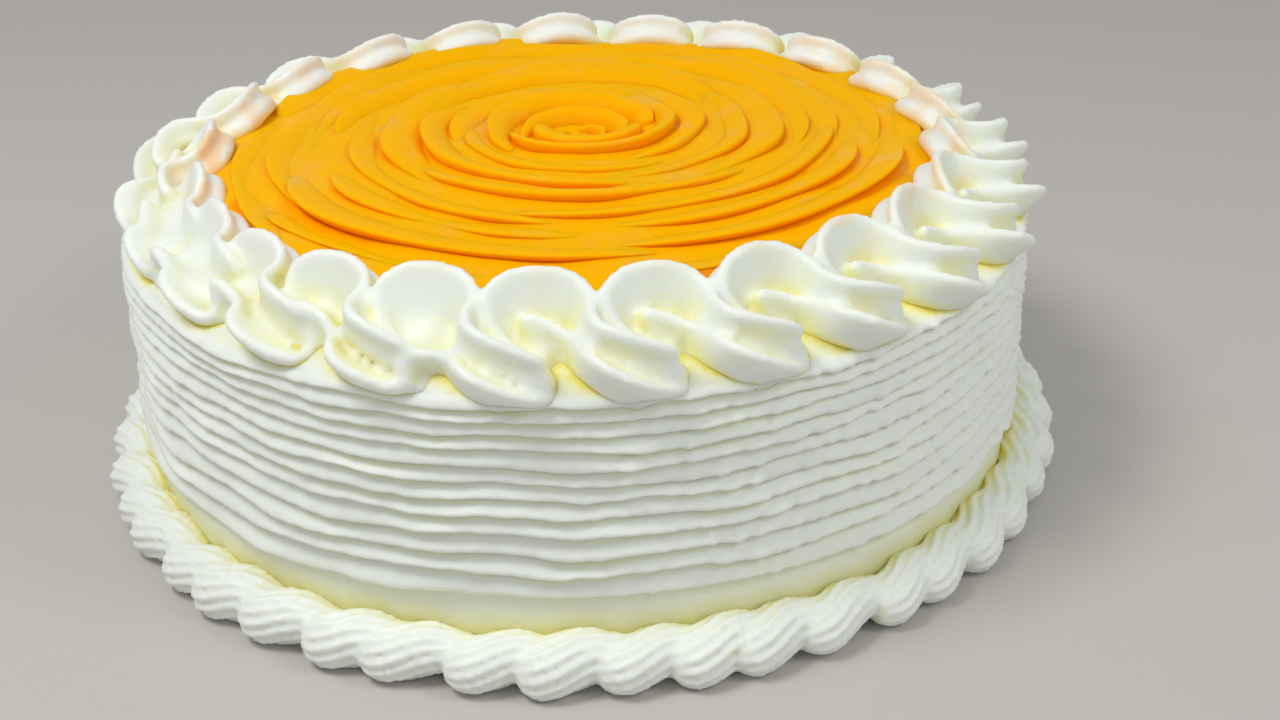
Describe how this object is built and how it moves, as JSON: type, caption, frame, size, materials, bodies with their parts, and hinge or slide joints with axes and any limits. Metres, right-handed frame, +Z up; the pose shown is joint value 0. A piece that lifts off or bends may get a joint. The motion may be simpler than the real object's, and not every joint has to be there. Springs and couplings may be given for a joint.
{
  "type": "mango cream cake",
  "caption": "Round cream cake with combed sides, looped piped rim, small shell border round the foot and a rose of mango slices on top.",
  "frame": {"origin": "middle of the cake's flat base, on the surface it rests on", "axes": "+Z up, -Y towards the front of the cake as pictured, +X to the right"},
  "size_m": [0.2245, 0.2242, 0.0806],
  "materials": {
    "cream": "soft satin whipped cream, white with pale yellow hollows",
    "mango": "wet ripe mango under clear glaze"
  },
  "bodies": {
    "root": {"iced_cake": "cream", "top_border": "cream", "bottom_border": "cream", "mango_ring_1_slice_1": "mango", "mango_ring_1_slice_2": "mango", "mango_ring_1_slice_3": "mango", "mango_ring_1_slice_4": "mango", "mango_ring_1_slice_5": "mango", "mango_ring_1_slice_6": "mango", "mango_ring_2_slice_1": "mango", "mango_ring_2_slice_2": "mango", "mango_ring_2_slice_3": "mango", "mango_ring_2_slice_4": "mango", "mango_ring_2_slice_5": "mango", "mango_ring_3_slice_1": "mango", "mango_ring_3_slice_2": "mango", "mango_ring_3_slice_3": "mango", "mango_ring_3_slice_4": "mango", "mango_ring_3_slice_5": "mango", "mango_ring_4_slice_1": "mango", "mango_ring_4_slice_2": "mango", "mango_ring_4_slice_3": "mango", "mango_ring_4_slice_4": "mango", "mango_ring_5_slice_1": "mango", "mango_ring_5_slice_2": "mango", "mango_ring_5_slice_3": "mango", "mango_ring_5_slice_4": "mango", "mango_ring_6_slice_1": "mango", "mango_ring_6_slice_2": "mango", "mango_ring_6_slice_3": "mango", "mango_ring_7_slice_1": "mango", "mango_ring_7_slice_2": "mango", "mango_ring_7_slice_3": "mango", "mango_ring_8_slice_1": "mango", "mango_ring_8_slice_2": "mango", "mango_ring_9_slice_1": "mango", "mango_ring_9_slice_2": "mango", "mango_ring_10_slice_1": "mango"}
  },
  "joints": []
}
